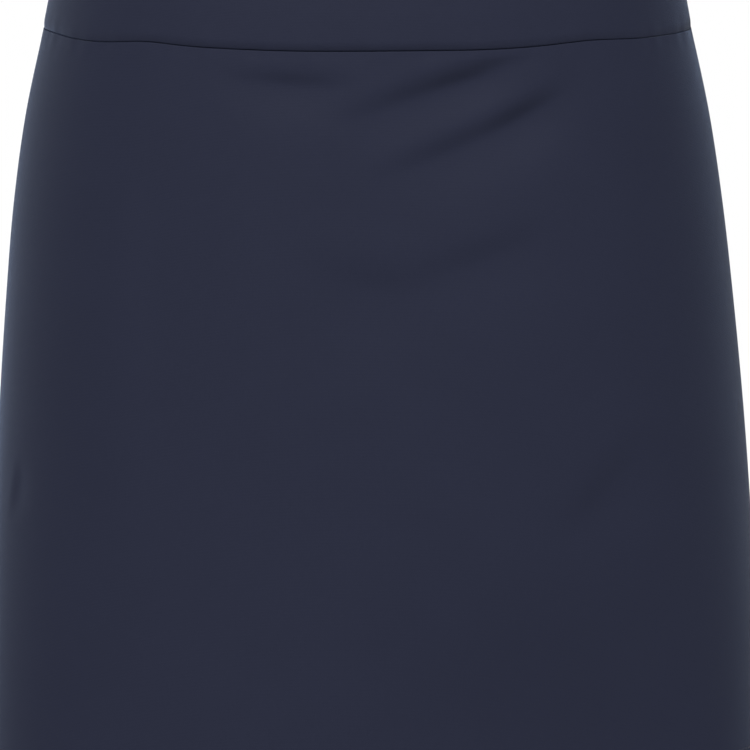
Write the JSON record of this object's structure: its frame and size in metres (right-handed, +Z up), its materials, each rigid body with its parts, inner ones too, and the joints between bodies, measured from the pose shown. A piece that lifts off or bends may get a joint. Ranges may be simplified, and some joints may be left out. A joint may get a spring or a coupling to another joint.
{
  "type": "mini skirt",
  "caption": "Short pull-on skirt in plain dark navy stretch cloth with a flat waistband, filled out as worn, slightly flared from waist to hem.",
  "frame": {"origin": "middle of the ring that the waistband closes round the waist, half way up the band at the side seams, where the wearer holds the skirt up", "axes": "+Z up towards the waist, -Y the front of the skirt, +X the side on the right of a viewer who faces the front"},
  "size_m": [0.3818, 0.2477, 0.403],
  "materials": {
    "panel_cloth": "smooth matt double knit",
    "waistband_cloth": "smooth matt double knit"
  },
  "bodies": {
    "root": {"front_panel": "panel_cloth", "back_panel": "panel_cloth", "waistband_front": "waistband_cloth", "waistband_back": "waistband_cloth"}
  },
  "joints": []
}
